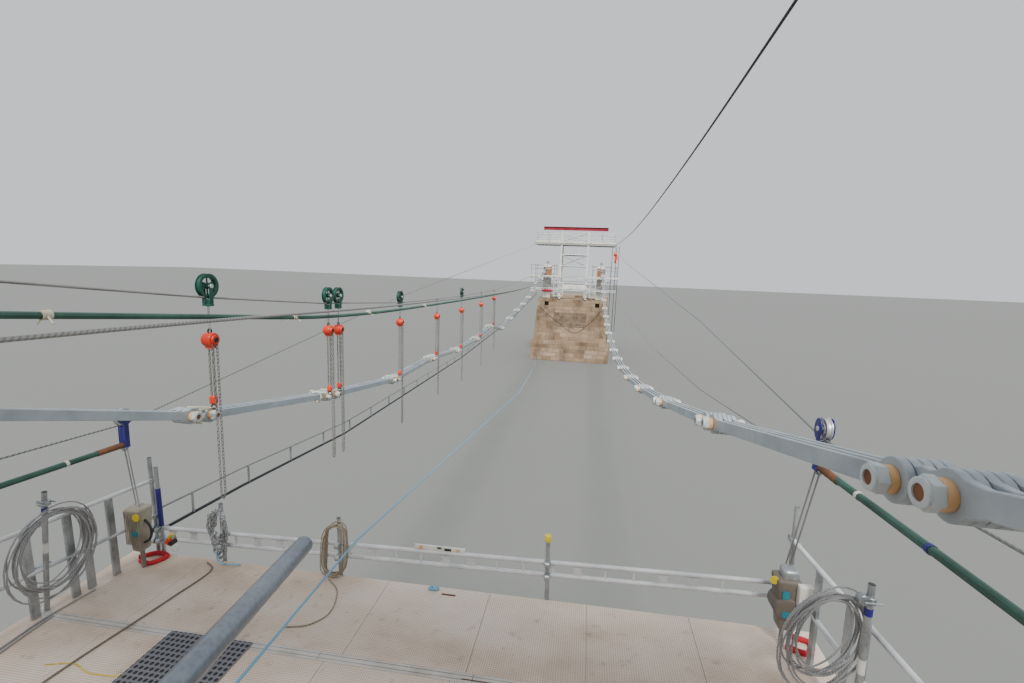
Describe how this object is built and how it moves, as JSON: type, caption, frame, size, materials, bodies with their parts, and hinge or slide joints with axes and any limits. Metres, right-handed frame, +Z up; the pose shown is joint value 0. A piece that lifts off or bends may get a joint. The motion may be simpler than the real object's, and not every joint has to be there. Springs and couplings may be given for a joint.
{
  "type": "eyebar-chain suspension bridge under rebuilding, 1:2 scale model",
  "caption": "Eyebar-chain suspension bridge on river piers, deck away, with scaffold towers, a hoist cableway and a slung working platform. 1:2 scale model.",
  "frame": {"origin": "middle of the span, at the level of the piers' feet", "axes": "+X to the right seen from the near pier, +Y along the bridge towards the far pier, +Z up"},
  "size_m": [4.5, 36.95, 6.875],
  "materials": {
    "sandstone": "weathered ashlar",
    "pylon_casing": "weathered timber casing",
    "white_cap": "matt paint",
    "chain_paint": "satin paint",
    "galvanised_steel": "galvanised",
    "scaffold_boards": "weathered boards",
    "platform_boards": "mesh-faced plywood",
    "red_paint": "gloss paint",
    "winch_housing": "worn paint",
    "green_sleeve": "matt sleeve",
    "wire_rope": "galvanised strand",
    "fibre_rope": "laid rope",
    "dark_cable": "black sheath",
    "blue_line": "braided line",
    "hoist_orange": "gloss paint",
    "traveller_green": "gloss paint",
    "sheave_blue": "gloss paint"
  },
  "bodies": {
    "root": {"near_pier": "sandstone", "near_anchorage": "sandstone", "near_left_pylon": "pylon_casing", "near_left_cap": "white_cap", "near_right_pylon": "pylon_casing", "near_right_cap": "white_cap", "far_pier": "sandstone", "far_anchorage": "sandstone", "far_left_pylon": "pylon_casing", "far_left_cap": "white_cap", "far_right_pylon": "pylon_casing", "far_right_cap": "white_cap", "left_chain_near": "chain_paint", "left_chain_far": "chain_paint", "near_left_backstay": "chain_paint", "far_left_backstay": "chain_paint", "right_chain_near": "chain_paint", "right_chain_far": "chain_paint", "near_right_backstay": "chain_paint", "far_right_backstay": "chain_paint", "near_scaffold": "galvanised_steel", "near_main_deck": "scaffold_boards", "near_gantry_frame": "galvanised_steel", "near_gantry_deck": "scaffold_boards", "near_red_beam": "red_paint", "far_scaffold": "galvanised_steel", "far_main_deck": "scaffold_boards", "far_gantry_frame": "galvanised_steel", "far_gantry_deck": "scaffold_boards", "far_red_beam": "red_paint", "outrigger_tube": "galvanised_steel", "platform_deck": "platform_boards", "platform_rails": "galvanised_steel", "left_winch": "winch_housing", "right_winch": "winch_housing", "sleeved_cable": "green_sleeve", "carrying_rope": "wire_rope", "overhead_cable": "dark_cable", "tag_line": "blue_line", "cableway_track": "wire_rope", "restraint_lines": "wire_rope", "left_rope_coil": "wire_rope", "right_rope_coil": "wire_rope", "rope_hank": "fibre_rope", "hanger_1": "hoist_orange", "hanger_2": "hoist_orange", "hanger_3": "hoist_orange", "hanger_4": "hoist_orange", "hanger_5": "hoist_orange", "left_haul_rope": "wire_rope", "left_sleeved_line": "green_sleeve", "right_haul_rope": "wire_rope", "right_sleeved_line": "green_sleeve"},
    "hanger_1_wheel": {"hanger_1_wheel": "traveller_green"},
    "hanger_2_wheel": {"hanger_2_wheel": "traveller_green"},
    "hanger_3_wheel": {"hanger_3_wheel": "traveller_green"},
    "hanger_4_wheel": {"hanger_4_wheel": "traveller_green"},
    "hanger_5_wheel": {"hanger_5_wheel": "traveller_green"},
    "left_sheave": {"left_sheave": "sheave_blue"},
    "right_sheave": {"right_sheave": "sheave_blue"}
  },
  "joints": [
    {"name": "hanger_1_wheel_spin", "type": "hinge", "parent": "root", "child": "hanger_1_wheel", "pos_m": [-1.34, -9.655, 4.43905], "axis": [1, 0, 0], "continuous": true},
    {"name": "hanger_2_wheel_spin", "type": "hinge", "parent": "root", "child": "hanger_2_wheel", "pos_m": [-1.34, -8.4, 4.32705], "axis": [1, 0, 0], "continuous": true},
    {"name": "hanger_3_wheel_spin", "type": "hinge", "parent": "root", "child": "hanger_3_wheel", "pos_m": [-1.34, -8.24, 4.32205], "axis": [1, 0, 0], "continuous": true},
    {"name": "hanger_4_wheel_spin", "type": "hinge", "parent": "root", "child": "hanger_4_wheel", "pos_m": [-1.34, -6.875, 4.24205], "axis": [1, 0, 0], "continuous": true},
    {"name": "hanger_5_wheel_spin", "type": "hinge", "parent": "root", "child": "hanger_5_wheel", "pos_m": [-1.34, -4.185, 4.19955], "axis": [1, 0, 0], "continuous": true},
    {"name": "left_sheave_spin", "type": "hinge", "parent": "root", "child": "left_sheave", "pos_m": [-1.85, -9.77, 3.655], "axis": [1, 0, 0], "continuous": true},
    {"name": "right_sheave_spin", "type": "hinge", "parent": "root", "child": "right_sheave", "pos_m": [1.85, -9.875, 3.966], "axis": [1, 0, 0], "continuous": true}
  ]
}
